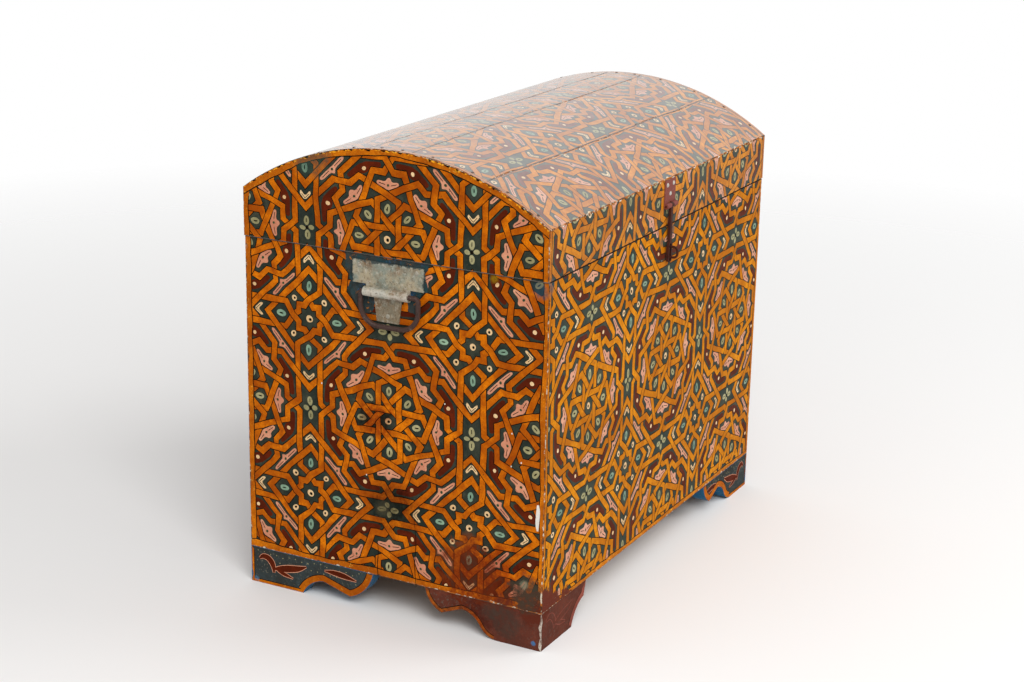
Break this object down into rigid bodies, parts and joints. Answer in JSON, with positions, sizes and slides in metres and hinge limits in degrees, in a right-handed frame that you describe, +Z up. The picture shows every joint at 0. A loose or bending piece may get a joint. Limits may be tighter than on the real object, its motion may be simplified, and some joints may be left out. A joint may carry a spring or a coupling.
{
  "type": "painted chest",
  "caption": "Dome-topped painted wooden chest on scalloped bracket feet, with a hinged lid, swinging end handles and a hasp that closes over a staple.",
  "frame": {"origin": "on the floor under the centre of the chest", "axes": "+X along the length to the right seen from the front, -Y out of the front with the hasp, +Z up"},
  "size_m": [0.5956, 0.3925, 0.519],
  "materials": {
    "painted_panels": "painted interlace under worn varnish",
    "painted_lid": "painted interlace under glossy varnish",
    "painted_feet": "painted, worn",
    "bare_wood": "bare, aged",
    "sheet_metal": "worn paint over sheet metal",
    "iron": "rubbed dark iron"
  },
  "bodies": {
    "case": {"front_panel": "painted_panels", "back_panel": "painted_panels", "left_end_panel": "painted_panels", "right_end_panel": "painted_panels", "bottom_board_front": "bare_wood", "bottom_board_middle": "bare_wood", "bottom_board_back": "bare_wood", "bottom_batten_left": "bare_wood", "bottom_batten_right": "bare_wood", "front_left_foot_front": "painted_feet", "front_left_foot_end": "painted_feet", "front_right_foot_front": "painted_feet", "front_right_foot_end": "painted_feet", "back_left_foot_back": "painted_feet", "back_left_foot_end": "painted_feet", "back_right_foot_back": "painted_feet", "back_right_foot_end": "painted_feet", "front_left_foot_block": "bare_wood", "front_right_foot_block": "bare_wood", "back_left_foot_block": "bare_wood", "back_right_foot_block": "bare_wood", "left_handle_plate": "sheet_metal", "right_handle_plate": "sheet_metal", "left_handle_nails": "iron", "right_handle_nails": "iron", "left_hinge_case_leaf": "sheet_metal", "right_hinge_case_leaf": "sheet_metal", "left_hinge_pin": "iron", "right_hinge_pin": "iron", "hinge_case_nails": "iron", "hasp_staple": "iron"},
    "lid": {"lid_front_rail": "painted_panels", "lid_back_rail": "painted_panels", "lid_left_gable": "painted_panels", "lid_right_gable": "painted_panels", "lid_stave_1": "painted_lid", "lid_stave_2": "painted_lid", "lid_stave_3": "painted_lid", "lid_stave_4": "painted_lid", "lid_stave_5": "painted_lid", "lid_stave_nails": "iron", "left_hinge_lid_leaf": "sheet_metal", "right_hinge_lid_leaf": "sheet_metal", "hinge_lid_nails": "iron", "hasp_plate": "sheet_metal", "hasp_nails": "iron", "hasp_pin": "iron"},
    "hasp": {"hasp_strap": "iron"},
    "left_handle": {"left_handle_bail": "iron"},
    "right_handle": {"right_handle_bail": "iron"}
  },
  "joints": [
    {"name": "lid_hinge", "type": "hinge", "parent": "case", "child": "lid", "pos_m": [0, 0.189, 0.404], "axis": [-1, 0, 0], "range_deg": [0, 105]},
    {"name": "hasp_swing", "type": "hinge", "parent": "lid", "child": "hasp", "pos_m": [0.002, -0.188, 0.428], "axis": [-1, 0, 0], "range_deg": [0, 150]},
    {"name": "left_handle_swing", "type": "hinge", "parent": "case", "child": "left_handle", "pos_m": [-0.2927, 0, 0.366], "axis": [0, 1, 0], "range_deg": [0, 150]},
    {"name": "right_handle_swing", "type": "hinge", "parent": "case", "child": "right_handle", "pos_m": [0.2927, 0, 0.366], "axis": [0, -1, 0], "range_deg": [0, 150]}
  ]
}
